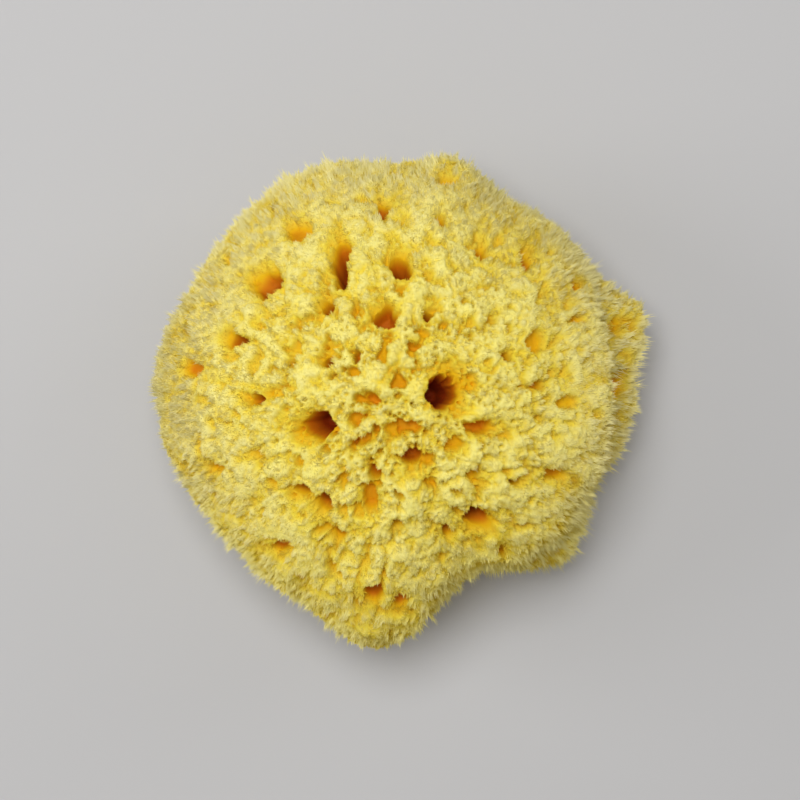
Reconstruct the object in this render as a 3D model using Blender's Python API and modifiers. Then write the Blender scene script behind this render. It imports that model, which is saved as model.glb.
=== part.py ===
"""A natural bath sponge, one porous dome that rests on a flat cut.

Metres, +Z up. The photograph looks straight down on the sponge, so +X is the right
of the picture and +Y its top. The sponge grew as one piece, so it is one closed body:
a lobed dome with a lower skirt on its right side, small lumps all over, and the open
mouths of its water channels, which all run in towards one point under the middle.
"""
import math
import random

import bmesh
import bpy
import numpy as np
from mathutils import Vector

# The picture: its scale at the widest level, its middle, and how far above that level it was taken from
PIXEL = 0.0003
PICTURE_MIDDLE = 402
VIEW_HEIGHT = 0.65

# The dome: radius and level of its widest part, rise above that level, fall of the full shape below it
BODY_RADIUS = 0.0672
WIDEST_LEVEL = 0.040
RISE = 0.0535
FALL = 0.062
ROUNDNESS = 2.15

# Lobes and hollows of the outline: azimuth, elevation, spread of each in degrees, rise in metres
LOBES = (
    ("skirt tip", 20, -8, 6.5, 7, 0.0095),
    ("skirt", 3, -9, 17, 7, 0.0055),
    ("lower end of the groove", -14, 5, 8, 5, -0.0070),
    ("middle of the groove", 3, 11, 9, 5.5, -0.0080),
    ("upper end of the groove", 18, 7, 7, 4.5, -0.0080),
    ("shelf above the groove", 6, 26, 20, 7, 0.0020),
    ("upper right bulge", 46, 0, 15, 22, 0.0035),
    ("first top bulge", 78, 2, 7, 20, 0.0068),
    ("second top bulge", 115, 0, 18, 24, 0.0092),
    ("left bulge", 172, 0, 20, 24, 0.0080),
    ("bottom bulge", 264, -2, 9.5, 22, 0.0082),
    ("lower right hollow", 292, -2, 11, 30, -0.0112),
    ("lower right foot", 315, -9, 8, 8, 0.0045),
    ("step above the foot", 316, 10, 9, 6, -0.0035),
    ("lower right flank", 334, 0, 8, 24, -0.0030),
    ("crown", 100, 80, 80, 20, 0.0015),
    ("saddle", 300, 52, 34, 12, -0.0020),
)

# Small lumps: how many over the whole round shape, their rise and their half width
LUMP_COUNT = 420
LUMP_RISE = 0.0024
LUMP_SPREAD = 0.0036

# Mouths of the channels: middle x and y, width and height in picture pixels, depth in metres
MOUTHS = (
    (445, 390, 32, 36, 0.026),
    (311, 426, 32, 28, 0.022),
    (338, 254, 19, 52, 0.013),
    (399, 259, 22, 28, 0.014),
    (293, 222, 30, 28, 0.009),
    (261, 278, 25, 24, 0.012),
    (383, 313, 26, 22, 0.014),
    (382, 200, 13, 20, 0.008),
    (444, 213, 13, 20, 0.007),
    (446, 170, 24, 17, 0.008),
    (228, 338, 20, 13, 0.008),
    (183, 368, 22, 20, 0.007),
    (250, 400, 20, 13, 0.009),
    (484, 244, 15, 17, 0.009),
    (533, 252, 17, 30, 0.008),
    (585, 278, 17, 17, 0.006),
    (584, 316, 17, 12, 0.006),
    (540, 339, 22, 26, 0.010),
    (547, 383, 15, 13, 0.007),
    (576, 402, 28, 17, 0.008),
    (483, 429, 34, 18, 0.014),
    (457, 448, 18, 14, 0.010),
    (412, 462, 26, 20, 0.016),
    (479, 477, 15, 18, 0.008),
    (483, 526, 24, 22, 0.015),
    (564, 479, 22, 17, 0.008),
    (296, 494, 20, 18, 0.011),
    (321, 509, 18, 24, 0.012),
    (369, 503, 17, 28, 0.012),
    (397, 527, 13, 13, 0.008),
    (334, 542, 13, 13, 0.008),
    (274, 554, 28, 17, 0.008),
    (370, 602, 22, 26, 0.009),
    (400, 609, 20, 15, 0.008),
    (451, 540, 14, 14, 0.008),
    (207, 470, 22, 15, 0.007),
    (395, 430, 20, 18, 0.009),
    (626, 382, 14, 26, 0.005),
)
MOUTH_EDGE = 7

# Mouths low on the flank, out of the picture's sight: how many, their width, their depth
FLANK_MOUTHS = 22
FLANK_MOUTH_WIDTH = 0.0070
FLANK_MOUTH_DEPTH = 0.008

# The solid's facets: size of the cells that even the surface out, and the share of them that stays
CELL = 0.0012
KEPT_SHARE = 0.080


def dome_radius(directions):
    """Distance of the lobed dome's surface from its heart, without lumps and mouths."""
    azimuth = np.degrees(np.arctan2(directions[:, 1], directions[:, 0]))
    elevation = np.degrees(np.arcsin(np.clip(directions[:, 2], -1, 1)))
    level = np.abs(directions[:, 2])
    across = np.sqrt(np.clip(1 - level * level, 0, 1))
    half_height = np.where(directions[:, 2] > 0, RISE, FALL)
    radius = ((across / BODY_RADIUS) ** ROUNDNESS + (level / half_height) ** ROUNDNESS) ** (-1 / ROUNDNESS)
    for _, lobe_azimuth, lobe_elevation, azimuth_spread, elevation_spread, rise in LOBES:
        turn = (azimuth - lobe_azimuth + 180) % 360 - 180
        along = turn / azimuth_spread
        up = (elevation - lobe_elevation) / elevation_spread
        radius = radius + rise * np.exp(-0.5 * (along * along + up * up))
    return radius


def even_directions(count, jitter, seed):
    """Directions spread evenly over a ball on a golden spiral, each moved a little."""
    generator = random.Random(seed)
    golden_turn = math.pi * (3 - math.sqrt(5))
    directions = []
    for index in range(count):
        height = 1 - 2 * (index + 0.5) / count
        across = math.sqrt(1 - height * height)
        spot = Vector((across * math.cos(golden_turn * index), across * math.sin(golden_turn * index), height))
        spot += Vector([generator.uniform(-jitter, jitter) for _ in range(3)])
        directions.append(spot.normalized())
    return np.array(directions)


def seen_direction(x, y):
    """Direction from the heart to the place on the dome that the picture shows at pixel x, y."""
    eye = Vector((0, 0, VIEW_HEIGHT))
    aim = Vector(((x - PICTURE_MIDDLE) * PIXEL, (PICTURE_MIDDLE - y) * PIXEL, 0))
    sight = aim - eye
    steps = 600
    for step in range(steps):
        place = eye + sight * (1 + 0.03 - 0.13 * (1 - step / steps))
        inside = place.length < dome_radius(np.array([place.normalized()]))[0]
        if inside:
            return place.normalized()
    return aim.normalized()


def surface_radius(directions):
    """Distance of the finished surface from the heart: dome, lumps on it, channels into it."""
    dome = dome_radius(directions)
    points = directions * dome[:, None]
    radius = dome.copy()

    generator = random.Random(8)
    for lump in even_directions(LUMP_COUNT, 0.05, 11):
        middle = lump * dome_radius(np.array([lump]))[0]
        distance = np.linalg.norm(points - middle, axis=1) / LUMP_SPREAD
        rise = LUMP_RISE * generator.uniform(0.2, 1)
        radius = radius + rise * np.exp(-0.5 * distance * distance)
    radius = radius - LUMP_RISE * 0.35

    for x, y, width, height, depth in MOUTHS:
        mouth = seen_direction(x, y)
        middle = np.array(mouth) * dome_radius(np.array([mouth]))[0]
        gap = points - middle
        half_width = width * PIXEL / 2
        half_height = height * PIXEL / 2
        across = gap[:, 0] / half_width
        along = gap[:, 1] / half_height
        upright = gap[:, 2] / (2.2 * max(half_width, half_height))
        reach = np.sqrt(across * across + along * along + upright * upright)
        radius = radius - depth / (1 + reach ** MOUTH_EDGE)

    generator = random.Random(5)
    for index in range(FLANK_MOUTHS):
        azimuth = math.radians(360 * (index + generator.uniform(-0.3, 0.3)) / FLANK_MOUTHS)
        elevation = math.radians(-24 + 17 * (index % 2) + generator.uniform(-5, 5))
        mouth = np.array((
            math.cos(azimuth) * math.cos(elevation),
            math.sin(azimuth) * math.cos(elevation),
            math.sin(elevation),
        ))
        middle = mouth * dome_radius(np.array([mouth]))[0]
        half_width = FLANK_MOUTH_WIDTH / 2 * generator.uniform(0.7, 1.3)
        reach = np.linalg.norm(points - middle, axis=1) / half_width
        depth = FLANK_MOUTH_DEPTH * generator.uniform(0.6, 1.2)
        radius = radius - depth / (1 + reach ** MOUTH_EDGE)
    return radius


def collection(name):
    """A new collection of the scene."""
    made = bpy.data.collections.new(name)
    bpy.context.scene.collection.children.link(made)
    return made


def sponge_material():
    """Dry, dull, cream-yellow sponge fibre."""
    material = bpy.data.materials.new("sponge_fibre")
    material.use_nodes = True
    shader = material.node_tree.nodes["Principled BSDF"]
    shader.inputs["Base Color"].default_value = (0.64, 0.50, 0.18, 1)
    shader.inputs["Roughness"].default_value = 0.95
    return material


def ball_mesh(name, subdivisions):
    """A ball of even triangles, radius one, to be moved out to the sponge's surface."""
    mesh = bpy.data.meshes.new(name)
    shape = bmesh.new()
    bmesh.ops.create_icosphere(shape, subdivisions=subdivisions, radius=1)
    shape.to_mesh(mesh)
    shape.free()
    return mesh


def ground_cutter(home):
    """The block below the cut that the diver's knife made, which takes the rounded bottom off."""
    mesh = bpy.data.meshes.new("ground_cutter")
    shape = bmesh.new()
    bmesh.ops.create_cube(shape, size=1)
    bmesh.ops.scale(shape, vec=(0.4, 0.4, 0.1), verts=shape.verts)
    bmesh.ops.translate(shape, vec=(0, 0, -0.05), verts=shape.verts)
    shape.to_mesh(mesh)
    shape.free()
    cutter = bpy.data.objects.new("ground_cutter", mesh)
    cutter.hide_render = True
    cutter.display_type = "WIRE"
    home.objects.link(cutter)
    return cutter


def evaluated_box(item):
    """Lowest and highest corner of an object's box with its modifiers on it."""
    ready = item.evaluated_get(bpy.context.evaluated_depsgraph_get())
    mesh = ready.to_mesh()
    places = np.empty(len(mesh.vertices) * 3)
    mesh.vertices.foreach_get("co", places)
    ready.to_mesh_clear()
    places = places.reshape(-1, 3)
    return places.min(axis=0), places.max(axis=0)


def build():
    for item in list(bpy.data.objects):
        bpy.data.objects.remove(item, do_unlink=True)

    sponge_home = collection("sea_sponge")
    cutter_home = collection("cutters")

    mesh = ball_mesh("sponge", 7)
    places = np.empty(len(mesh.vertices) * 3)
    mesh.vertices.foreach_get("co", places)
    directions = places.reshape(-1, 3)
    directions = directions / np.linalg.norm(directions, axis=1)[:, None]
    surface = directions * surface_radius(directions)[:, None]
    surface[:, 2] += WIDEST_LEVEL
    mesh.vertices.foreach_set("co", surface.ravel())
    mesh.update()

    sponge = bpy.data.objects.new("sponge", mesh)
    sponge_home.objects.link(sponge)
    mesh.materials.append(sponge_material())

    even = sponge.modifiers.new("even_facets", "REMESH")
    even.mode = "VOXEL"
    even.voxel_size = CELL
    even.use_smooth_shade = True
    fewer = sponge.modifiers.new("fewer_facets", "DECIMATE")
    fewer.ratio = KEPT_SHARE
    cut = sponge.modifiers.new("ground_cut", "BOOLEAN")
    cut.operation = "DIFFERENCE"
    cut.solver = "EXACT"
    cut.object = ground_cutter(cutter_home)

    # The origin is the middle of the finished box at the level of the cut
    low, high = evaluated_box(sponge)
    mesh.vertices.foreach_get("co", places)
    surface = places.reshape(-1, 3)
    surface[:, 0] -= (low[0] + high[0]) / 2
    surface[:, 1] -= (low[1] + high[1]) / 2
    mesh.vertices.foreach_set("co", surface.ravel())
    mesh.update()


build()
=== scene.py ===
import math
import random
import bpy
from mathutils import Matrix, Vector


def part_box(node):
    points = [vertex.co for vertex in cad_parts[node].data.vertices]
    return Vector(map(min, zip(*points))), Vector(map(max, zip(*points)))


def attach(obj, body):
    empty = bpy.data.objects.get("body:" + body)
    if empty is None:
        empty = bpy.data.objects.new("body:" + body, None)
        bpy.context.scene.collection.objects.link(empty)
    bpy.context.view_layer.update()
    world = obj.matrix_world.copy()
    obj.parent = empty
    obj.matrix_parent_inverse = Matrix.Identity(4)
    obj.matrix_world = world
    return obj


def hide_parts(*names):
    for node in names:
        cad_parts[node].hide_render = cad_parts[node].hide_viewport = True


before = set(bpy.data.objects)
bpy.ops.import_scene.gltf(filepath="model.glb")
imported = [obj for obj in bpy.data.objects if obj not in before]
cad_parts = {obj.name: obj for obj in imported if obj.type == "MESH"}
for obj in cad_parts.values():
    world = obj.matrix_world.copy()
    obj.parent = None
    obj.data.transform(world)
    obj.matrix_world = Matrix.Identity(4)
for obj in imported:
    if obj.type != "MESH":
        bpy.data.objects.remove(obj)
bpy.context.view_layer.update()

# %% [markdown]
# # A natural bath sponge
#
# The sponge is the cleaned skeleton of a sea animal: a springy network of horny fibre, full of
# water channels, cut off flat where it grew on the rock. From a step away it is a lobed, pale
# yellow dome with round dark mouths. Closer up every bit of its skin is made of small tufts of
# fibre, packed like brushes, with ochre gaps between them.
#
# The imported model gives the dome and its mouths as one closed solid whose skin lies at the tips
# of the tufts. This lesson builds the look inside that solid: first a fine body a millimetre or
# two smaller, then the tufts that stand on it and reach the solid's skin again.

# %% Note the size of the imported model
from types import SimpleNamespace

import bmesh
import bpy
import numpy as np
from mathutils import Vector, kdtree, noise

MM = 0.001
node_low, node_high = (np.array(corner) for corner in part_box("sponge"))
print("packed sponge, mm:", ((node_high - node_low) / MM).round(1))

# %% [markdown]
# ## The shape as a rule
#
# A sculptor would push clay about; here the same shape is a rule. From a point inside the sponge,
# its heart, each direction meets the skin at one distance. A rounded box shape gives the dome, and
# a short list of lobes pushes it out or in, as the outline of the sponge shows. The values of the
# dome and its lobes are the same as the solid's, so the two agree.

# %% The dome and its lobes
# Lengths are in metres and angles in degrees, here and below, unless a comment says otherwise
PIXEL = 0.0003
PICTURE_MIDDLE = 402
VIEW_HEIGHT = 0.65
BODY_RADIUS = 0.0672
WIDEST_LEVEL = 0.040
RISE = 0.0535
FALL = 0.062
ROUNDNESS = 2.15

# Azimuth, elevation, spread of each in degrees, rise in metres
LOBES = (
    ("skirt tip", 20, -8, 6.5, 7, 0.0095),
    ("skirt", 3, -9, 17, 7, 0.0055),
    ("lower end of the groove", -14, 5, 8, 5, -0.0070),
    ("middle of the groove", 3, 11, 9, 5.5, -0.0080),
    ("upper end of the groove", 18, 7, 7, 4.5, -0.0080),
    ("shelf above the groove", 6, 26, 20, 7, 0.0020),
    ("upper right bulge", 46, 0, 15, 22, 0.0035),
    ("first top bulge", 78, 2, 7, 20, 0.0068),
    ("second top bulge", 115, 0, 18, 24, 0.0092),
    ("left bulge", 172, 0, 20, 24, 0.0080),
    ("bottom bulge", 264, -2, 9.5, 22, 0.0082),
    ("lower right hollow", 292, -2, 11, 30, -0.0112),
    ("lower right foot", 315, -9, 8, 8, 0.0045),
    ("step above the foot", 316, 10, 9, 6, -0.0035),
    ("lower right flank", 334, 0, 8, 24, -0.0030),
    ("crown", 100, 80, 80, 20, 0.0015),
    ("saddle", 300, 52, 34, 12, -0.0020),
)


def dome_radius(directions):
    """Distance of the lobed dome's surface from its heart, without lumps and mouths."""
    azimuth = np.degrees(np.arctan2(directions[:, 1], directions[:, 0]))
    elevation = np.degrees(np.arcsin(np.clip(directions[:, 2], -1, 1)))
    level = np.abs(directions[:, 2])
    across = np.sqrt(np.clip(1 - level * level, 0, 1))
    half_height = np.where(directions[:, 2] > 0, RISE, FALL)
    wide = (across / BODY_RADIUS) ** ROUNDNESS
    high = (level / half_height) ** ROUNDNESS
    radius = (wide + high) ** (-1 / ROUNDNESS)
    for _, lobe_azimuth, lobe_elevation, azimuth_spread, elevation_spread, rise in LOBES:
        turn = (azimuth - lobe_azimuth + 180) % 360 - 180
        along = turn / azimuth_spread
        up = (elevation - lobe_elevation) / elevation_spread
        radius = radius + rise * np.exp(-0.5 * (along * along + up * up))
    return radius


def even_directions(count, jitter, seed):
    """Directions spread evenly over a ball on a golden spiral, each moved a little."""
    generator = random.Random(seed)
    golden_turn = math.pi * (3 - math.sqrt(5))
    directions = []
    for index in range(count):
        height = 1 - 2 * (index + 0.5) / count
        across = math.sqrt(1 - height * height)
        turn = golden_turn * index
        spot = Vector((across * math.cos(turn), across * math.sin(turn), height))
        spot += Vector([generator.uniform(-jitter, jitter) for _ in range(3)])
        directions.append(spot.normalized())
    return np.array(directions)


# %% [markdown]
# ## The mouths of the water channels
#
# A sponge pumps water out through round mouths. They are where the eye lands first, so each one is
# listed: its middle and size in picture pixels, and its depth in metres. They stand where the solid
# has them. The depths are this scene's own: a deeper channel catches less light, so each depth is
# set by how dark its mouth looks. A line of sight from the camera finds the place on the dome.
# Every channel runs towards the heart, which is why the mouths near the rim show their lit outer
# wall and those near the middle look straight down into the dark.

# %% Where the mouths are
MOUTHS = (
    (445, 390, 32, 36, 0.020),
    (311, 426, 32, 28, 0.015),
    (338, 254, 19, 52, 0.012),
    (399, 259, 22, 28, 0.012),
    (293, 222, 30, 28, 0.004),
    (261, 278, 27, 26, 0.022),
    (383, 313, 26, 22, 0.009),
    (382, 200, 13, 20, 0.009),
    (444, 213, 13, 20, 0.006),
    (446, 170, 24, 17, 0.0035),
    (228, 338, 22, 15, 0.014),
    (183, 368, 22, 20, 0.0045),
    (250, 400, 22, 15, 0.012),
    (484, 244, 15, 17, 0.014),
    (533, 252, 17, 30, 0.006),
    (585, 278, 17, 17, 0.004),
    (584, 316, 17, 12, 0.004),
    (540, 339, 22, 26, 0.0045),
    (547, 383, 15, 13, 0.0055),
    (576, 402, 28, 17, 0.0036),
    (483, 429, 34, 18, 0.0065),
    (457, 448, 18, 14, 0.0045),
    (412, 462, 26, 20, 0.0085),
    (479, 477, 15, 18, 0.0045),
    (483, 526, 24, 22, 0.013),
    (564, 479, 22, 17, 0.0045),
    (296, 494, 20, 18, 0.011),
    (321, 509, 18, 24, 0.012),
    (369, 503, 17, 28, 0.0055),
    (397, 527, 13, 13, 0.008),
    (334, 542, 13, 13, 0.008),
    (274, 554, 28, 17, 0.0045),
    (370, 602, 22, 26, 0.0055),
    (400, 609, 20, 15, 0.005),
    (451, 540, 14, 14, 0.008),
    (207, 470, 22, 15, 0.0032),
    (395, 430, 20, 18, 0.0045),
    (626, 382, 14, 26, 0.005),
)

# Smaller gaps in the crown's crumb, and hollows on the skirt and the flank, for the scene alone
GAPS = (
    (323, 301, 14, 14, 0.014),
    (430, 309, 12, 14, 0.010),
    (415, 341, 17, 9, 0.0055),
    (415, 354, 7, 6, 0.004),
    (354, 354, 11, 10, 0.0065),
    (324, 358, 12, 14, 0.011),
    (329, 376, 7, 7, 0.006),
    (373, 398, 17, 11, 0.006),
    (400, 380, 8, 13, 0.003),
    (399, 395, 8, 8, 0.0035),
    (286, 362, 12, 6, 0.004),
    (352, 419, 15, 13, 0.005),
    (369, 437, 17, 11, 0.003),
    (350, 446, 7, 11, 0.007),
    (513, 353, 14, 10, 0.012),
    (558, 436, 8, 13, 0.007),
    (521, 484, 10, 9, 0.009),
    (374, 477, 13, 15, 0.007),
    (244, 455, 16, 7, 0.004),
    (626, 322, 18, 26, 0.004),
    (628, 384, 20, 34, 0.005),
    (623, 424, 10, 16, 0.005),
    (632, 352, 10, 10, 0.004),
    (546, 559, 12, 8, 0.004),
    (507, 559, 8, 12, 0.004),
)
print("mouths:", len(MOUTHS), "gaps:", len(GAPS))

# %% [markdown]
# The camera sees the mouths on top. A ring of small ones low on the flank is out of its sight,
# so these are scattered in two rows by chance, with a fixed seed, as such sponges have them.

# %% The table of every channel
FLANK_MOUTHS = 22
FLANK_MOUTH_WIDTH = 0.0070
FLANK_MOUTH_DEPTH = 0.008
FLANK_WIDTHS = (0.7, 1.3)
FLANK_DEPTHS = (0.6, 1.2)
FLANK_ROWS = (-24, -7)
FLANK_SHIFT = 0.3
FLANK_RISE = 5
UPRIGHT_SHARE = 2.2
SIGHT_STEPS = 600
SIGHT_END = 1.03
SIGHT_SPAN = 0.13


def seen_direction(x, y):
    """Direction from the heart to the place on the dome that the picture shows at pixel x, y."""
    eye = Vector((0, 0, VIEW_HEIGHT))
    aim = Vector(((x - PICTURE_MIDDLE) * PIXEL, (PICTURE_MIDDLE - y) * PIXEL, 0))
    share = SIGHT_END - SIGHT_SPAN * (1 - np.arange(SIGHT_STEPS) / SIGHT_STEPS)
    places = np.array(eye) + share[:, None] * np.array(aim - eye)
    distances = np.linalg.norm(places, axis=1)
    directions = places / distances[:, None]
    inside = np.nonzero(distances < dome_radius(directions))[0]
    return directions[inside[0]] if len(inside) else np.array(aim.normalized())


def channel_table():
    """Middle, half sizes across, along and upright, and depth of every mouth and gap."""
    table = []
    for x, y, width, height, depth in MOUTHS + GAPS:
        direction = seen_direction(x, y)
        middle = direction * dome_radius(direction[None, :])[0]
        half_width = width * PIXEL / 2
        half_height = height * PIXEL / 2
        upright = UPRIGHT_SHARE * max(half_width, half_height)
        table.append((middle, (half_width, half_height, upright), depth))
    generator = random.Random(5)
    for index in range(FLANK_MOUTHS):
        step = index + generator.uniform(-FLANK_SHIFT, FLANK_SHIFT)
        azimuth = math.radians(360 * step / FLANK_MOUTHS)
        row = FLANK_ROWS[index % 2]
        elevation = math.radians(row + generator.uniform(-FLANK_RISE, FLANK_RISE))
        direction = np.array((
            math.cos(azimuth) * math.cos(elevation),
            math.sin(azimuth) * math.cos(elevation),
            math.sin(elevation),
        ))
        middle = direction * dome_radius(direction[None, :])[0]
        half_width = FLANK_MOUTH_WIDTH / 2 * generator.uniform(*FLANK_WIDTHS)
        depth = FLANK_MOUTH_DEPTH * generator.uniform(*FLANK_DEPTHS)
        table.append((middle, (half_width, half_width, half_width), depth))
    return table


CHANNELS = channel_table()
print("channels in all:", len(CHANNELS))

# %% [markdown]
# ## The skin and the channels
#
# The skin is the level of the tufts' tips. Small lumps are laid on the dome, as in the solid.
# A channel is a steep-walled pit in that skin, with a ragged edge. On the side that faces away
# from the middle of the sponge its rim slopes in gently, as a funnel, and this is the yellow
# slope that shows beside each dark mouth. Smooth noise bends and frays every edge, because
# nothing that grew has a clean circle in it.

# %% Small lumps and smooth noise
LUMP_COUNT = 420
LUMP_RISE = 0.0024
LUMP_SPREAD = 0.0036
LUMP_SINK = 0.35
LUMP_SHARES = (0.2, 1)
LUMPS = even_directions(LUMP_COUNT, jitter=0.05, seed=11)
LUMP_MIDDLES = LUMPS * dome_radius(LUMPS)[:, None]


def many_noise(points, size, seed):
    """Smooth noise from about -1 to 1 at many points, with bumps about `size` metres apart."""
    shift = Vector((seed * 13.7, seed * 5.3, seed * 9.1))
    values = [noise.noise(Vector(point) / size + shift) for point in points]
    return np.array(values)


def pushed_about(points, size, amount, seed):
    """The points moved about by smooth noise, which makes what is drawn on them irregular."""
    push = np.stack([many_noise(points, size, seed + axis) for axis in range(3)], axis=1)
    return points + amount * push


def smooth_step(values, low, high):
    """From 0 at the low value to 1 at the high one, with soft ends."""
    share = np.clip((values - low) / (high - low), 0, 1)
    return share * share * (3 - 2 * share)


def closed_skin(directions):
    """Distance from the heart to the tips of the tufts, as if no channel were open."""
    dome = dome_radius(directions)
    points = directions * dome[:, None]
    radius = dome - LUMP_RISE * LUMP_SINK
    generator = random.Random(8)
    for middle in LUMP_MIDDLES:
        distance = np.linalg.norm(points - middle, axis=1) / LUMP_SPREAD
        rise = LUMP_RISE * generator.uniform(*LUMP_SHARES)
        radius = radius + rise * np.exp(-0.5 * distance * distance)
    return radius


print("lumps:", len(LUMPS))

# %% [markdown]
# A channel's depth falls off so steeply at its edge that it has a real wall: the distance from
# its middle is raised to a high power. The funnel uses a low power, so it fades out slowly.

# %% The depth of the channels
MOUTH_EDGE = 11
OPEN_SHARE = 0.86
FUNNEL_SHARE = 0.30
FUNNEL_WIDTH = 1.15
FUNNEL_EDGE = 4
FUNNEL_SLIDE = 0.55
SLIDE_START = 0.02
COARSE_FRAY = 0.26
FINE_FRAY = 0.20
REACH_LIMIT = 5


def channel_depth(directions):
    """How far the channels reach in below the skin, with ragged edges and funnels."""
    points = directions * dome_radius(directions)[:, None]
    points = pushed_about(points, size=0.0038, amount=0.0013, seed=11)
    ragged = 1 + COARSE_FRAY * many_noise(points, size=0.0021, seed=1)
    ragged = ragged + FINE_FRAY * many_noise(points, size=0.0010, seed=2)
    depths = np.zeros(len(points))
    for middle, half_sizes, depth in CHANNELS:
        half_sizes = np.array(half_sizes) * OPEN_SHARE
        gap = points - middle
        near = np.linalg.norm(gap, axis=1) < REACH_LIMIT * half_sizes.max()
        reach = np.linalg.norm(gap[near] / half_sizes, axis=1) * ragged[near]
        pit = depth / (1 + reach ** MOUTH_EDGE)

        # The funnel is the same pit, wider and softer, moved away from the sponge's middle
        sideways = middle * np.array((1, 1, 0))
        away = sideways / max(np.linalg.norm(sideways), SLIDE_START)
        slide = away * FUNNEL_SLIDE * half_sizes.min()
        wide = half_sizes * FUNNEL_WIDTH
        funnel_reach = np.linalg.norm((gap[near] - slide) / wide, axis=1) * ragged[near]
        funnel = FUNNEL_SHARE * depth / (1 + funnel_reach ** FUNNEL_EDGE)
        depths[near] = np.maximum(depths[near], np.maximum(pit, funnel))
    return depths


print("deepest channel, mm:", max(depth for _, _, depth in CHANNELS) / MM)

# %% [markdown]
# Between the mouths the top of the crown is a maze of crumb ridges with ragged gaps. Noise gives
# their pattern: where it rises past an edge value a gap opens. In the middle of the crown the
# edge is lower and the gaps are deeper, and away from it they fade into shallow dents.

# %% The gaps in the crown's crumb
LABYRINTH_MIDDLE = np.array((-0.003, -0.006))
LABYRINTH_SPREAD = 0.019
LABYRINTH_DEPTH = 0.0036
GAP_DEPTH = 0.0020
GAP_EDGE = 0.31
GAP_EDGE_DROP = 0.11
GAP_EDGE_WIDTH = 0.16
GAP_FRAY = 0.22


def crumb_gaps(directions):
    """Depth of the ragged gaps between ridges of crumb, deepest in the middle of the crown."""
    points = directions * dome_radius(directions)[:, None]
    from_middle = np.linalg.norm(points[:, :2] - LABYRINTH_MIDDLE, axis=1) / LABYRINTH_SPREAD
    middle = np.exp(-0.5 * from_middle ** 2) * (points[:, 2] > 0)
    bent = pushed_about(points, size=0.0019, amount=0.0009, seed=31)
    pattern = many_noise(bent, size=0.0042, seed=21)
    pattern += GAP_FRAY * many_noise(points, size=0.0011, seed=22)
    edge = GAP_EDGE - GAP_EDGE_DROP * middle
    open_share = smooth_step(pattern, edge, edge + GAP_EDGE_WIDTH)
    return open_share * (GAP_DEPTH + LABYRINTH_DEPTH * middle)


print("deepest gap in the crumb, mm:", round((GAP_DEPTH + LABYRINTH_DEPTH) / MM, 1))

# %% [markdown]
# ## The body under the tufts
#
# The body is the part of the sponge that the tufts stand on. A ball of small triangles is moved
# out to the skin, less the length of a tuft, and flattened at the level of the cut. Deep mouths
# stretch those triangles badly, so later a voxel remesh lays an even net over the whole shape.

# %% Move a ball out to the skin
CROWN_TUFT = 0.0010
FLANK_TUFT = 0.0022
FLANK_TOP = 4
CROWN_FOOT = 38
BALL_LEVEL = 8


def tuft_length(elevations):
    """Tufts are short on the crown and long on the flank."""
    crown_share = smooth_step(elevations, FLANK_TOP, CROWN_FOOT)
    return FLANK_TUFT + (CROWN_TUFT - FLANK_TUFT) * crown_share


def vertex_array(mesh):
    """The places of a mesh's points, one row for each."""
    values = np.empty(len(mesh.vertices) * 3)
    mesh.vertices.foreach_get("co", values)
    return values.reshape(-1, 3)


ball = bpy.data.meshes.new("moved_ball")
shape = bmesh.new()
bmesh.ops.create_icosphere(shape, subdivisions=BALL_LEVEL, radius=1)
shape.to_mesh(ball)
shape.free()
directions = vertex_array(ball)
directions = directions / np.linalg.norm(directions, axis=1)[:, None]
tips = closed_skin(directions)
ball_elevation = np.degrees(np.arcsin(directions[:, 2]))
pressed_in = np.maximum(channel_depth(directions), crumb_gaps(directions))
surface = directions * (tips - tuft_length(ball_elevation) - pressed_in)[:, None]
surface[:, 2] = np.maximum(surface[:, 2] + WIDEST_LEVEL, 0)

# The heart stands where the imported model's box says
whole = directions * tips[:, None]
whole = whole[whole[:, 2] > -WIDEST_LEVEL]
HEART = (node_low + node_high) / 2 - (whole.min(axis=0) + whole.max(axis=0)) / 2
HEART[2] = WIDEST_LEVEL
surface[:, :2] += HEART[:2]
ball.vertices.foreach_set("co", surface.ravel())
ball.update()
print("ball:", len(ball.vertices), "points, heart at mm", (HEART / MM).round(2))

# %% [markdown]
# ## Tufts, puffs and pores
#
# The skin is covered in tufts two and a half millimetres apart, which gather into puffs three
# times as wide. Each point of the body finds its nearest tuft and the next one. Where the two are
# about equally far, the point lies in the gap between tufts, so the body is pressed in there, and
# puffs are told apart in the same way. Pores are small round pits scattered among them, half a
# millimetre to a bit over one across. Places come from a golden spiral, each one moved a little.

# %% Scatter the tufts, the puffs and the pores
TUFT_SPACING = 0.0025
PUFF_SPACING = 0.0075
PORE_SPACING = 0.0030
SKIN_RADIUS = 0.072
TUFT_HEIGHTS = (0.45, 1.30)
TALL_TUFT_SHARE = 0.16
TALL_TUFT_RISE = 0.50
TUFT_TILT = 0.17
PORE_RADII = (0.28, 0.62)
PORE_DEPTHS = (0.4, 2.8)


def scattered(spacing, jitter, seed):
    """A search tree of places about `spacing` apart on the dome, and the places."""
    count = round(4 * math.pi * SKIN_RADIUS ** 2 / spacing ** 2)
    ways = even_directions(count, jitter, seed)
    spots = HEART + ways * dome_radius(ways)[:, None]
    tree = kdtree.KDTree(count)
    for index, spot in enumerate(spots):
        tree.insert(spot, index)
    tree.balance()
    return tree, spots


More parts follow.
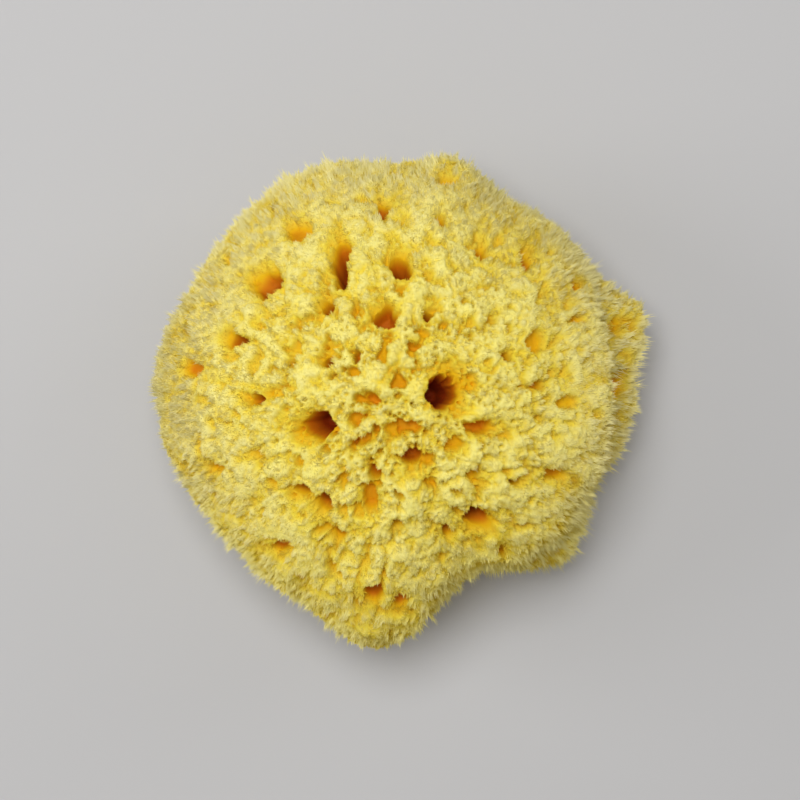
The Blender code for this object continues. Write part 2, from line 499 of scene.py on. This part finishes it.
tuft_tree, tuft_places = scattered(TUFT_SPACING, jitter=0.014, seed=21)
pore_tree, pore_places = scattered(PORE_SPACING, jitter=0.030, seed=33)
puff_tree, _ = scattered(PUFF_SPACING, jitter=0.045, seed=55)
tuft_count = len(tuft_places)
pore_count = len(pore_places)
chance = np.random.default_rng(4)
tuft_height = chance.uniform(*TUFT_HEIGHTS, tuft_count)
tuft_height += TALL_TUFT_RISE * (chance.uniform(0, 1, tuft_count) < TALL_TUFT_SHARE)
tuft_tone = chance.uniform(0, 1, tuft_count)
tuft_tilt = chance.normal(0, TUFT_TILT, (tuft_count, 3))
pore_radius = chance.uniform(*PORE_RADII, pore_count) * MM
pore_depth = chance.uniform(*PORE_DEPTHS, pore_count) * MM
print("tufts:", tuft_count, "pores:", pore_count)

# %% [markdown]
# The relief, the fibres and the colour all need the same measures: how far out the skin is, how
# deep the point lies in a channel, which tuft and pore are nearest, and how the crumb runs
# there. They are taken once for each point and kept together under plain names.

# %% Measure where each point lies
MOUND_EDGE = 0.42
PUFF_EDGE = 0.26
CUT_LEVEL = 0.0003
WALL_START = 0.0018
WALL_END = 0.0048
CROWN_START = 20
CROWN_FULL = 50


def nearest_mound(tree, points, spacing, width):
    """The nearest place to each point, and how far the point is from the gap to the next one."""
    found = [tree.find_n(point, 2) for point in points]
    nearest = np.array([pair[0][1] for pair in found])
    first = np.array([pair[0][2] for pair in found])
    second = np.array([pair[1][2] for pair in found])
    return nearest, smooth_step((second - first) / spacing, 0, width)


def measured(places):
    """What the relief, the fibres and the colour need to know about each point."""
    from_heart = places - HEART
    distance = np.linalg.norm(from_heart, axis=1)
    outward = from_heart / distance[:, None]
    elevation = np.degrees(np.arcsin(outward[:, 2]))
    skin_level = closed_skin(outward)
    tuft = tuft_length(elevation)

    # A point down in a channel belongs to the tuft above it
    lifted = HEART + outward * skin_level[:, None]
    nearest, mound = nearest_mound(tuft_tree, lifted, TUFT_SPACING, MOUND_EDGE)
    bent = pushed_about(lifted, size=0.0040, amount=0.0009, seed=41)
    _, puff = nearest_mound(puff_tree, bent, PUFF_SPACING, PUFF_EDGE)
    found = [pore_tree.find(point) for point in lifted]
    return SimpleNamespace(
        outward=outward,
        elevation=elevation,
        azimuth=np.arctan2(outward[:, 1], outward[:, 0]),
        skin_level=skin_level,
        tuft=tuft,
        lifted=lifted,
        nearest=nearest,
        mound=mound,
        puff=puff,
        pore=np.array([pair[1] for pair in found]),
        pore_gap=np.array([pair[2] for pair in found]),
        on_cut=places[:, 2] < CUT_LEVEL,
        smooth_wall=smooth_step(skin_level - tuft - distance, WALL_START, WALL_END),
        crown=smooth_step(elevation, CROWN_START, CROWN_FULL),
        patchy=many_noise(lifted, size=0.0060, seed=3),
        crumb=many_noise(lifted, size=0.0019, seed=4),
        grain=many_noise(places, size=0.0009, seed=5),
    )


# %% [markdown]
# ## Relief
#
# The skin is pressed in between tufts, in soft hollows, at pores, between puffs and in grooves
# that run down from the crown, and noise at two sizes breaks it all into crumb. On the flank most
# of this hides under longer fibres, so it is weaker there. Inside the channels the walls stay
# nearly smooth, as on the real sponge. The cut face shows the bare network, so only wide pores
# are pressed into it.

# %% How far the skin is pressed in
CREVICE_DEPTH = 0.0008
HOLLOW_DEPTH = 0.0010
VALLEY_DEPTH = 0.0011
GROOVE_DEPTH = 0.0009
GROOVE_WIDTH = 0.0060
GROOVE_STRETCH = 3.6
CUT_PORE_DEPTH = 0.0024
CRUMB_RISE = 0.00034
GRAIN_RISE = 0.00024
HOLLOW_FRAY = 0.30
PORE_EDGE = 6
FLANK_CREVICES = 0.5
FLANK_PORES = 0.25
WALL_CALM = 0.8


def grooves(azimuth, elevation):
    """Grooves that run down from the crown, strongest on the shoulder."""
    drop = np.radians(elevation) / GROOVE_STRETCH
    around = SKIN_RADIUS * np.stack([np.cos(azimuth), np.sin(azimuth), drop], axis=1)
    bent = pushed_about(around, size=0.0040, amount=0.0010, seed=51)
    pattern = smooth_step(many_noise(bent, GROOVE_WIDTH, seed=7), low=0.18, high=0.42)
    above_flank = smooth_step(elevation, low=0, high=20)
    below_crown = 1 - smooth_step(elevation, low=50, high=66)
    return pattern * above_flank * below_crown


def in_patches(patchy, middle, swing, most):
    """The share of a relief that comes and goes in patches."""
    return np.clip(middle + swing * patchy, 0, most)


def relief_at(spot):
    """How far out each point moves along its way from the heart, in metres."""
    crevice_share = in_patches(spot.patchy, middle=0.55, swing=1.1, most=1.3)
    crevice = (1 - spot.mound) * CREVICE_DEPTH * crevice_share
    hollow_pattern = many_noise(spot.lifted, size=0.0036, seed=6) + HOLLOW_FRAY * spot.crumb
    hollow = HOLLOW_DEPTH * smooth_step(hollow_pattern, low=0.10, high=0.40)
    pit = pore_depth[spot.pore] / (1 + (spot.pore_gap / pore_radius[spot.pore]) ** PORE_EDGE)
    valley_share = in_patches(spot.patchy, middle=0.6, swing=1.2, most=1.2)
    valley = VALLEY_DEPTH * (1 - spot.puff) * valley_share
    crevices_here = FLANK_CREVICES + (1 - FLANK_CREVICES) * spot.crown
    pores_here = FLANK_PORES + (1 - FLANK_PORES) * spot.crown
    relief = -crevices_here * (crevice + hollow) - pores_here * pit
    relief -= valley + GROOVE_DEPTH * grooves(spot.azimuth, spot.elevation)
    relief += CRUMB_RISE * spot.crumb + GRAIN_RISE * spot.grain
    relief *= 1 - WALL_CALM * spot.smooth_wall
    return np.where(spot.on_cut, 0, relief)


def carve(mesh, spot):
    """Move the points of a mesh to their relief, and press pores into the cut face."""
    places = vertex_array(mesh) + spot.outward * relief_at(spot)[:, None]
    places[:, 2] = np.maximum(places[:, 2], 0)
    cut_pore = smooth_step(many_noise(places, size=0.0045, seed=8), low=0.05, high=0.30)
    cut_pore = np.where(spot.on_cut, CUT_PORE_DEPTH * cut_pore, 0)
    places[:, 2] += cut_pore
    mesh.vertices.foreach_set("co", places.ravel())
    mesh.update()
    return places, cut_pore


# %% [markdown]
# ## Facts for the fibres and the colour
#
# Geometry Nodes will plant the fibres, and it can read numbers that are stored on the body's
# points: how many fibres grow there, how long they are, which way they grow, and how high up on
# the sponge they stand. Fibres lean in towards the middle of their tuft, and on the flank the
# middle ones are the longest, so that each tuft comes to a point. On the skirt and on the lower
# right flank they are longer still, which gives the ragged fringe there.

# %% Which way, how long and how many
FACING_SHARE = 0.75
GATHER_FLANK = 2.2
GATHER_CROWN_DROP = 1.45
SUNK_START = 0.0016
SUNK_END = 0.0040
SUNK_SHORTER = 0.6
TUFT_REACH = 0.62
FLANK_LEAST = 0.48
FLANK_POINT = 1.05
CROWN_LEAST = 0.50
FIBRE_STRETCH = 1.20
GAP_FIBRES = 0.4
CROWN_TRIM = 0.25

# Extra length as a share, azimuth and its spread, elevation and its spread
FRINGES = (
    (0.3, 17, 9, -6, 7),
    (0.4, -25, 20, -2, 14),
)


def store(mesh, name, values):
    """Keep one number or one direction for each point of a mesh."""
    kind = "FLOAT" if values.ndim == 1 else "FLOAT_VECTOR"
    layer = mesh.attributes.new(name, kind, "POINT")
    field = "value" if values.ndim == 1 else "vector"
    layer.data.foreach_set(field, values.astype(np.float32).ravel())


def vertex_normals(mesh):
    """The directions in which a mesh faces at its points."""
    values = np.empty(len(mesh.vertices) * 3)
    mesh.vertex_normals.foreach_get("vector", values)
    return values.reshape(-1, 3)


def fringe_share(spot):
    """How long the fibres are for their place: longest on the fringes, shortest on the crown."""
    azimuth = np.degrees(spot.azimuth)
    share = np.ones(len(azimuth))
    for extra, middle, spread, level, level_spread in FRINGES:
        along = (azimuth - middle) / spread
        up = (spot.elevation - level) / level_spread
        share += extra * np.exp(-0.5 * (along ** 2 + up ** 2))
    return share - CROWN_TRIM * spot.crown


def note_fibres(mesh, spot, below_skin):
    """Store the number, the length and the way of the fibres at each point."""
    sunk = smooth_step(below_skin - spot.tuft, SUNK_START, SUNK_END)
    toward_tuft = (tuft_places[spot.nearest] - spot.lifted) / TUFT_SPACING
    gathered = (GATHER_FLANK - GATHER_CROWN_DROP * spot.crown)[:, None] * toward_tuft
    growing = spot.outward + FACING_SHARE * vertex_normals(mesh)
    growing = growing + tuft_tilt[spot.nearest] + gathered
    growing = growing / np.linalg.norm(growing, axis=1)[:, None]
    near_middle = np.clip(1 - np.linalg.norm(toward_tuft, axis=1) / TUFT_REACH, 0, 1)
    crown_part = spot.crown * (CROWN_LEAST + (1 - CROWN_LEAST) * spot.mound)
    flank_part = (1 - spot.crown) * (FLANK_LEAST + FLANK_POINT * near_middle)
    length = FIBRE_STRETCH * spot.tuft * tuft_height[spot.nearest]
    length = length * (crown_part + flank_part) * (1 - SUNK_SHORTER * sunk) * fringe_share(spot)
    many = (1 - sunk) * (GAP_FIBRES + (1 - GAP_FIBRES) * spot.mound)
    store(mesh, "fibre_number", np.where(spot.on_cut, 0, many))
    store(mesh, "fibre_length", length)
    store(mesh, "fibre_way", growing)
    store(mesh, "elevation", spot.elevation)


# %% [markdown]
# Two more numbers are for the colour. One is the depth below the skin. It counts for a little more
# in the channels of the flank and on the near side, the one towards the bottom of the picture,
# which are a deeper yellow in the photograph; this extra depth is painted shade, for the shade in
# the flank's channels and on the side away from the lamp. The other is the tone, which runs from a
# clear, warm crown to a greyer cream flank and changes a little from patch to patch, from tuft to
# tuft and with the crumb. On the near side the tone is lowered as painted shade too.

# %% How deep and how pale
CUT_DEPTH = 0.0015
CUT_PORE_PAINTED_SHADE = 1.6
WALL_PAINTED_SHADE = 0.3
NEAR_SIDE_PAINTED_SHADE = 0.22
NEAR_SIDE_START = 0.15
NEAR_SIDE_FULL = 0.75
FLANK_TONE = 0.78
CROWN_TONE_DROP = 0.48
PATCH_TONE = 0.25
TUFT_TONE = 0.20
CRUMB_TONE = 0.15
NEAR_SIDE_SHADE_TONE = 0.38


def note_colour(mesh, spot, below_skin, cut_pore):
    """Store the depth that sets the colour, with painted shade added, and the tone at each point.
    """
    flank = 1 - spot.crown
    # Painted shade: on the flank, the near side, away from the lamp, gets a deeper colour
    near_side_shade = smooth_step(-spot.outward[:, 1], NEAR_SIDE_START, NEAR_SIDE_FULL) * flank
    # The depth counts for more on the flank's channel walls and on the near side: painted shade
    depth_with_painted_shade = below_skin * (1 + WALL_PAINTED_SHADE * flank * spot.smooth_wall + NEAR_SIDE_PAINTED_SHADE * near_side_shade)
    # On the cut face the pressed-in pores get a deeper colour: painted shade
    store(mesh, "below_skin", np.where(spot.on_cut, CUT_DEPTH + CUT_PORE_PAINTED_SHADE * cut_pore, depth_with_painted_shade))
    tone = FLANK_TONE - CROWN_TONE_DROP * spot.crown + PATCH_TONE * spot.patchy
    tone += TUFT_TONE * (tuft_tone[spot.nearest] - 0.5)
    tone += CRUMB_TONE * spot.crumb
    # Painted shade: the tone is lowered on the near side
    tone -= NEAR_SIDE_SHADE_TONE * near_side_shade
    store(mesh, "tone", np.clip(tone, 0, 1))


def carve_and_note(mesh):
    """Give a body piece its relief, and store what its fibres and its colour need."""
    spot = measured(vertex_array(mesh))
    places, cut_pore = carve(mesh, spot)
    below_skin = spot.skin_level - np.linalg.norm(places - HEART, axis=1)
    note_fibres(mesh, spot, below_skin)
    note_colour(mesh, spot, below_skin, cut_pore)


# %% [markdown]
# ## Three pieces of body
#
# The remesh cuts the moved ball into even cells. The crown, which shows its crumb, gets a fine
# net, and the furry flank and foot a coarser one, so the body is made of three pieces that
# overlap a little under the fibres. The modifier is made real before anything else is done, so
# each piece ends as a plain mesh.

# %% Make the three pieces of the body
def plain_mesh(item):
    """A plain mesh of an object as its modifiers leave it, and the object with none left."""
    graph = bpy.context.evaluated_depsgraph_get()
    mesh = bpy.data.meshes.new_from_object(item.evaluated_get(graph))
    item.modifiers.clear()
    item.data = mesh
    return mesh


def body_piece(name, cell, lowest, highest):
    """The remeshed body between two elevations in degrees, carved and noted."""
    piece = bpy.data.objects.new(name, ball.copy())
    bpy.context.scene.collection.objects.link(piece)
    even = piece.modifiers.new("even net", "REMESH")
    even.mode = "VOXEL"
    even.voxel_size = cell
    even.use_smooth_shade = True
    mesh = plain_mesh(piece)
    outward = vertex_array(mesh) - HEART
    elevation = np.degrees(np.arcsin(outward[:, 2] / np.linalg.norm(outward, axis=1)))
    outside = np.nonzero((elevation < lowest) | (elevation > highest))[0]
    shape = bmesh.new()
    shape.from_mesh(mesh)
    shape.verts.ensure_lookup_table()
    bmesh.ops.delete(shape, geom=[shape.verts[index] for index in outside], context="VERTS")
    shape.to_mesh(mesh)
    shape.free()
    carve_and_note(mesh)
    print(name, "triangles:", 2 * len(mesh.polygons))
    return piece


crown_body = body_piece("body_crown", cell=0.00043, lowest=42, highest=91)
shoulder_body = body_piece("body_shoulder", cell=0.00068, lowest=13, highest=44)
foot_body = body_piece("body_foot", cell=0.00115, lowest=-91, highest=15)

# %% [markdown]
# ## Planting the fibres
#
# Each fibre is a spike with three sides and an open foot, which costs only three triangles.
# Geometry Nodes scatters points on the body, stands a spike on each, turns it the stored way with
# a little disorder, and joins them all into one mesh. The tree is built once and used for each
# band of the sponge, from the crown down to the foot, so that no piece grows too heavy. A few
# small helpers keep the wiring readable.

# %% Helpers for node trees
def link(tree, start, start_socket, end, end_socket):
    """A wire from one node's output to another node's input."""
    tree.links.new(start.outputs[start_socket], end.inputs[end_socket])


def add(tree, kind, **settings):
    """A new node with its settings."""
    made = tree.nodes.new(kind)
    for name, value in settings.items():
        setattr(made, name, value)
    return made


def stored(tree, name, kind="FLOAT"):
    """A node that reads what is stored on the body's points."""
    made = add(tree, "GeometryNodeInputNamedAttribute", data_type=kind)
    made.inputs["Name"].default_value = name
    return made


def multiply(tree, first, first_socket, second, second_socket):
    """A node that multiplies two outputs."""
    made = add(tree, "ShaderNodeMath", operation="MULTIPLY")
    link(tree, first, first_socket, made, 0)
    link(tree, second, second_socket, made, 1)
    return made


# %% [markdown]
# The tree's inputs are named, so the same tree serves every band: how densely it grows, between
# which elevations, how thick a fibre is and how much it strays. Points are scattered with the
# stored share times the full density, and only where the elevation lies in the band.

# %% The tree's inputs and the scattered points
def name_inputs(tree):
    """The sockets of the tree, with values that stand until a band sets its own."""
    face = tree.interface
    face.new_socket("Body", in_out="INPUT", socket_type="NodeSocketGeometry")
    for name, value in (
        ("Fibres per square metre", 4e6),
        ("Lowest elevation", -90.0),
        ("Highest elevation", 90.0),
        ("Fibre radius", 0.0002),
        ("Disorder", 0.34),
    ):
        socket = face.new_socket(name, in_out="INPUT", socket_type="NodeSocketFloat")
        socket.default_value = value
    seed = face.new_socket("Seed", in_out="INPUT", socket_type="NodeSocketInt")
    seed.default_value = 1
    face.new_socket("Fibres", in_out="OUTPUT", socket_type="NodeSocketGeometry")


def scattered_points(tree, given):
    """Random points on the body, only between the band's two elevations."""
    level = stored(tree, "elevation")
    above = add(tree, "FunctionNodeCompare", data_type="FLOAT", operation="GREATER_EQUAL")
    link(tree, level, "Attribute", above, "A")
    link(tree, given, "Lowest elevation", above, "B")
    below = add(tree, "FunctionNodeCompare", data_type="FLOAT", operation="LESS_THAN")
    link(tree, level, "Attribute", below, "A")
    link(tree, given, "Highest elevation", below, "B")
    band = add(tree, "FunctionNodeBooleanMath", operation="AND")
    link(tree, above, "Result", band, 0)
    link(tree, below, "Result", band, 1)
    share = stored(tree, "fibre_number")
    number = multiply(tree, share, "Attribute", given, "Fibres per square metre")
    points = add(tree, "GeometryNodeDistributePointsOnFaces", distribute_method="RANDOM")
    link(tree, given, "Body", points, "Mesh")
    link(tree, band, "Boolean", points, "Selection")
    link(tree, number, "Value", points, "Density")
    link(tree, given, "Seed", points, "Seed")
    return points


# %% [markdown]
# A spike is made a unit tall and a unit in radius, so its scale is its real size. Each of its
# points knows how high it stands, and the colour uses this later. The spike turns to the stored
# way plus a random push, and its length is the stored one times a random share, because fibres
# of one even length look machine-made.

# %% One spike, its way and its size
SHORTEST_SHARE = 0.62
LONGEST_SHARE = 1.25


def marked_spike(tree):
    """One three-sided spike that knows how high each of its points is."""
    spike = add(tree, "GeometryNodeMeshCone", fill_type="NONE")
    spike.inputs["Vertices"].default_value = 3
    spike.inputs["Radius Top"].default_value = 0
    spike.inputs["Radius Bottom"].default_value = 1
    spike.inputs["Depth"].default_value = 1
    place = add(tree, "GeometryNodeInputPosition")
    parts = add(tree, "ShaderNodeSeparateXYZ")
    link(tree, place, "Position", parts, 0)
    mark = add(tree, "GeometryNodeStoreNamedAttribute", data_type="FLOAT", domain="POINT")
    mark.inputs["Name"].default_value = "height"
    link(tree, spike, "Mesh", mark, "Geometry")
    link(tree, parts, "Z", mark, "Value")
    return mark


def leaning(tree, given):
    """The turn of each spike: the stored way and a random push."""
    way = stored(tree, "fibre_way", "FLOAT_VECTOR")
    push = add(tree, "FunctionNodeRandomValue", data_type="FLOAT_VECTOR")
    push.inputs["Min"].default_value = (-1, -1, -1)
    push.inputs["Max"].default_value = (1, 1, 1)
    link(tree, given, "Seed", push, "Seed")
    scaled_push = add(tree, "ShaderNodeVectorMath", operation="SCALE")
    link(tree, push, "Value", scaled_push, 0)
    link(tree, given, "Disorder", scaled_push, "Scale")
    lean = add(tree, "ShaderNodeVectorMath", operation="ADD")
    link(tree, way, "Attribute", lean, 0)
    link(tree, scaled_push, "Vector", lean, 1)
    turn = add(tree, "FunctionNodeAlignRotationToVector", axis="Z")
    link(tree, lean, "Vector", turn, "Vector")
    return turn


def fibre_size(tree, given):
    """The scale of each spike: its radius, twice, and its uneven length."""
    reach = stored(tree, "fibre_length")
    uneven = add(tree, "FunctionNodeRandomValue", data_type="FLOAT")

    # Sockets 0 and 1 are for vectors, 2 and 3 are the least and the most of a single number
    uneven.inputs[2].default_value = SHORTEST_SHARE
    uneven.inputs[3].default_value = LONGEST_SHARE
    tall = multiply(tree, reach, "Attribute", uneven, 1)
    size = add(tree, "ShaderNodeCombineXYZ")
    link(tree, given, "Fibre radius", size, "X")
    link(tree, given, "Fibre radius", size, "Y")
    link(tree, tall, "Value", size, "Z")
    return size


# %% [markdown]
# The tree's last nodes stand a spike on every point, make the copies real and give them their
# material, because an export keeps only real meshes.

# %% Put the tree together
def fibre_tree(material):
    """The whole tree, from a body to the fibres that grow on it."""
    tree = bpy.data.node_groups.new("plant_fibres", "GeometryNodeTree")
    name_inputs(tree)
    given = add(tree, "NodeGroupInput")
    result = add(tree, "NodeGroupOutput")
    stand = add(tree, "GeometryNodeInstanceOnPoints")
    link(tree, scattered_points(tree, given), "Points", stand, "Points")
    link(tree, marked_spike(tree), "Geometry", stand, "Instance")
    link(tree, leaning(tree, given), "Rotation", stand, "Rotation")
    link(tree, fibre_size(tree, given), "Vector", stand, "Scale")
    join = add(tree, "GeometryNodeRealizeInstances")
    link(tree, stand, "Instances", join, "Geometry")
    dye = add(tree, "GeometryNodeSetMaterial")
    dye.inputs["Material"].default_value = material
    link(tree, join, "Geometry", dye, "Geometry")
    link(tree, dye, "Geometry", result, "Fibres")
    return tree


# %% [markdown]
# ## Colour
#
# Sponge fibre is bleached cream at the skin. A millimetre down it is a clear yellow, then ochre,
# and the walls of the channels go from orange to a deep brown. This darkening with depth is partly
# the fibre's own colour and partly painted shade, for the dark inside deep, narrow channels and
# down among the fibres. Light that bounces about between the fibres gets more orange with each
# bounce, so the renderer does part of this by itself. Each piece carries a UV map whose upright
# axis is the depth below the skin and whose other axis runs from a deep tone to a pale one. The
# upright axis is a square root, which gives the first millimetres most of the room. The material is
# a colour for each place on the map, and the walls of the channels are a little less dull than the
# skin.

# %% The material
DEEPEST = 0.014
SKIN_ROUGHNESS = 0.97
WALL_ROUGHNESS = 0.70
SHINE = 0.15


def sponge_material(name, deep_stops, pale_stops):
    """A dull fibre whose colour runs along the piece's own map, between two rows of stops."""
    material = bpy.data.materials.new(name)
    material.use_nodes = True
    tree = material.node_tree
    shader = tree.nodes["Principled BSDF"]
    shader.inputs["Specular IOR Level"].default_value = SHINE
    own_map = add(tree, "ShaderNodeUVMap", uv_map="OFBake")
    parts = add(tree, "ShaderNodeSeparateXYZ")
    link(tree, own_map, "UV", parts, 0)
    mix = add(tree, "ShaderNodeMix", data_type="RGBA")
    link(tree, parts, "X", mix, "Factor")
    for row, socket in ((deep_stops, "A"), (pale_stops, "B")):
        ramp = add(tree, "ShaderNodeValToRGB")
        while len(ramp.color_ramp.elements) < len(row):
            ramp.color_ramp.elements.new(0.5)
        for element, (depth, colour) in zip(ramp.color_ramp.elements, row):
            element.position = math.sqrt(depth * MM / DEEPEST)
            element.color = (*colour, 1)
        link(tree, parts, "Y", ramp, "Fac")
        tree.links.new(ramp.outputs["Color"], mix.inputs[socket])
    tree.links.new(mix.outputs[2], shader.inputs["Base Color"])
    gloss = add(tree, "ShaderNodeMapRange")
    gloss.inputs["To Min"].default_value = SKIN_ROUGHNESS
    gloss.inputs["To Max"].default_value = WALL_ROUGHNESS
    link(tree, parts, "Y", gloss, "Value")
    link(tree, gloss, "Result", shader, "Roughness")
    return material


# Depth below the skin in millimetres, and the colour there; the deep orange and brown stops are
# partly painted shade
fibre_look = sponge_material(
    "sponge_fibre",
    (
        (0.0, (0.93, 0.87, 0.36)),
        (1.2, (0.90, 0.81, 0.22)),
        (2.6, (0.85, 0.69, 0.05)),
        (5.0, (0.73, 0.42, 0.004)),
        (8.0, (0.57, 0.16, 0.001)),
        (14.0, (0.26, 0.025, 0.0005)),
    ),
    (
        (0.0, (0.85, 0.79, 0.47)),
        (1.2, (0.82, 0.735, 0.31)),
        (2.6, (0.78, 0.62, 0.085)),
        (5.0, (0.78, 0.49, 0.008)),
        (8.0, (0.63, 0.20, 0.002)),
        (14.0, (0.30, 0.035, 0.0005)),
    ),
)
print("material:", fibre_look.name)

# %% [markdown]
# ## Dressing the sponge
#
# Each piece gets its map from the stored depth and tone. A body piece uses them as they are. A
# fibre's tip is nearer the skin than its foot by its own length, so its depth is less there, and
# fibres that stand in a hollow stay a deeper yellow, partly as painted shade, as with all colour
# set by depth.

# %% Write a piece's own map
CORNER_STEP = 0.012
TONE_ROOM = 0.97


def set_map(mesh, tone, depth):
    """The piece's own map: tone across, depth below the skin upright."""
    corners = np.empty(len(mesh.loops), np.int32)
    mesh.loops.foreach_get("vertex_index", corners)

    # Corners a small step apart, so that no triangle shrinks to a line on the map
    across = np.clip(tone[corners] * TONE_ROOM + CORNER_STEP * (corners % 3), 0, 1)
    upright = np.sqrt(np.clip(depth / DEEPEST, 0, 1))[corners]
    values = np.stack([across, upright], axis=1)
    layer = mesh.uv_layers.get("OFBake") or mesh.uv_layers.new(name="OFBake")
    layer.data.foreach_set("uv", values.astype(np.float32).ravel())


def read(mesh, name):
    """The stored number of each point."""
    values = np.empty(len(mesh.vertices), np.float32)
    mesh.attributes[name].data.foreach_get("value", values)
    return values


# %% [markdown]
# The fibres are planted in four bands. On the crown they are fine, short and close, and towards
# the foot they are thicker, longer and fewer, as far as the triangles last. A fibre that would
# reach below the cut is pressed flat on the floor's level.

# %% Plant the bands
planting = fibre_tree(fibre_look)
sockets = {
    item.name: item.identifier
    for item in planting.interface.items_tree
    if item.in_out == "INPUT"
}

# Name, body, lowest and highest elevation, fibres per square metre, radius, disorder, seed
BANDS = (
    ("tufts_crown", crown_body, 43, 91, 8.6e6, 0.00013, 0.30, 1),
    ("tufts_shoulder", shoulder_body, 14, 43, 5.9e6, 0.00016, 0.24, 2),
    ("tufts_flank", foot_body, -12, 14, 5.4e6, 0.00023, 0.20, 3),
    ("tufts_foot", foot_body, -91, -12, 3.4e6, 0.00025, 0.20, 4),
)
tufts = []
for name, ground, lowest, highest, number, radius, disorder, seed in BANDS:
    band = bpy.data.objects.new(name, ground.data.copy())
    bpy.context.scene.collection.objects.link(band)
    grower = band.modifiers.new("plant fibres", "NODES")
    grower.node_group = planting
    grower[sockets["Fibres per square metre"]] = number
    grower[sockets["Lowest elevation"]] = float(lowest)
    grower[sockets["Highest elevation"]] = float(highest)
    grower[sockets["Fibre radius"]] = radius
    grower[sockets["Disorder"]] = disorder
    grower[sockets["Seed"]] = seed
    fibres = plain_mesh(band)
    places = vertex_array(fibres)
    places[:, 2] = np.maximum(places[:, 2], 0)
    fibres.vertices.foreach_set("co", places.ravel())
    fibres.update()
    tip_depth = read(fibres, "below_skin") - read(fibres, "height") * read(fibres, "fibre_length")
    set_map(fibres, read(fibres, "tone"), tip_depth)
    print(name, "fibres:", len(fibres.polygons) // 3, "triangles:", len(fibres.polygons))
    tufts.append(band)

# %% [markdown]
# The body shows between the tufts and in the channels, so it has the same material.

# %% Map the three pieces of the body
bodies = [crown_body, shoulder_body, foot_body]
for ground in bodies:
    set_map(ground.data, read(ground.data, "tone"), read(ground.data, "below_skin"))
    ground.data.materials.clear()
    ground.data.materials.append(fibre_look)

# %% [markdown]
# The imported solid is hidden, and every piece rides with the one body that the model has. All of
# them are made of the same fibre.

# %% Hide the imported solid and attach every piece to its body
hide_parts("sponge")
for piece in bodies + tufts:
    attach(piece, "root")

# %% [markdown]
# ## Floor, light and camera
#
# The sponge stands on a plain pale floor under a large soft lamp that hangs a little to the upper
# left of the camera, so that the light falls into the mouths as it does in the photograph. Two
# weaker lamps at the sides and a warm, dim surround soften the shadows.

# %% The floor
FLOOR_SIZE = 8.0
FLOOR_COLOUR = (0.56, 0.56, 0.57, 1)
FLOOR_ROUGHNESS = 0.8

floor_mesh = bpy.data.meshes.new("floor")
shape = bmesh.new()
bmesh.ops.create_grid(shape, x_segments=1, y_segments=1, size=FLOOR_SIZE / 2)
shape.to_mesh(floor_mesh)
shape.free()
floor = bpy.data.objects.new("floor", floor_mesh)
bpy.context.scene.collection.objects.link(floor)
floor_look = bpy.data.materials.new("pale_floor")
floor_look.use_nodes = True
floor_shader = floor_look.node_tree.nodes["Principled BSDF"]
floor_shader.inputs["Base Color"].default_value = FLOOR_COLOUR
floor_shader.inputs["Roughness"].default_value = FLOOR_ROUGHNESS
floor_mesh.materials.append(floor_look)

# %% The light
LAMP_AIM = (0, 0, 0.04)
WORLD_COLOUR = (0.95, 0.90, 0.83, 1)
WORLD_STRENGTH = 0.25

# Name, place, width, power in watts
LAMPS = (
    ("soft_top", (-0.12, 0.17, 1.1), 0.5, 7.7),
    ("soft_left", (-0.9, 0.1, 0.6), 0.6, 2.3),
    ("soft_right", (0.8, 0.5, 0.6), 0.6, 1.1),
)


def hang_lamp(name, place, width, power):
    """A round soft lamp that shines at the sponge."""
    light = bpy.data.lights.new(name, "AREA")
    light.shape = "DISK"
    light.size = width
    light.energy = power
    item = bpy.data.objects.new(name, light)
    item.location = place
    aim = Vector(LAMP_AIM) - Vector(place)
    item.rotation_euler = aim.to_track_quat("-Z", "Y").to_euler()
    bpy.context.scene.collection.objects.link(item)


for lamp in LAMPS:
    hang_lamp(*lamp)
world = bpy.data.worlds.new("studio")
world.use_nodes = True
background = world.node_tree.nodes["Background"]
background.inputs["Color"].default_value = WORLD_COLOUR
background.inputs["Strength"].default_value = WORLD_STRENGTH
bpy.context.scene.world = world
bpy.context.scene.view_settings.view_transform = "Standard"
print("lamps:", len(LAMPS))

# %% [markdown]
# The camera looks straight down, as in the photograph. Its lens follows from its height and from
# the size of a picture pixel, so the sponge fills as much of the picture as it does there.

# %% The camera
SENSOR_WIDTH = 36
PICTURE_SIZE = 800

camera_data = bpy.data.cameras.new("camera")
camera_data.sensor_width = SENSOR_WIDTH
camera_data.lens = SENSOR_WIDTH * VIEW_HEIGHT / (PICTURE_SIZE * PIXEL)
camera = bpy.data.objects.new("camera", camera_data)
aside = (PICTURE_MIDDLE - PICTURE_SIZE / 2) * PIXEL
camera.location = (HEART[0] - aside, HEART[1] + aside, WIDEST_LEVEL + VIEW_HEIGHT)
bpy.context.scene.collection.objects.link(camera)
bpy.context.scene.camera = camera
print("lens, mm:", round(camera_data.lens, 1))
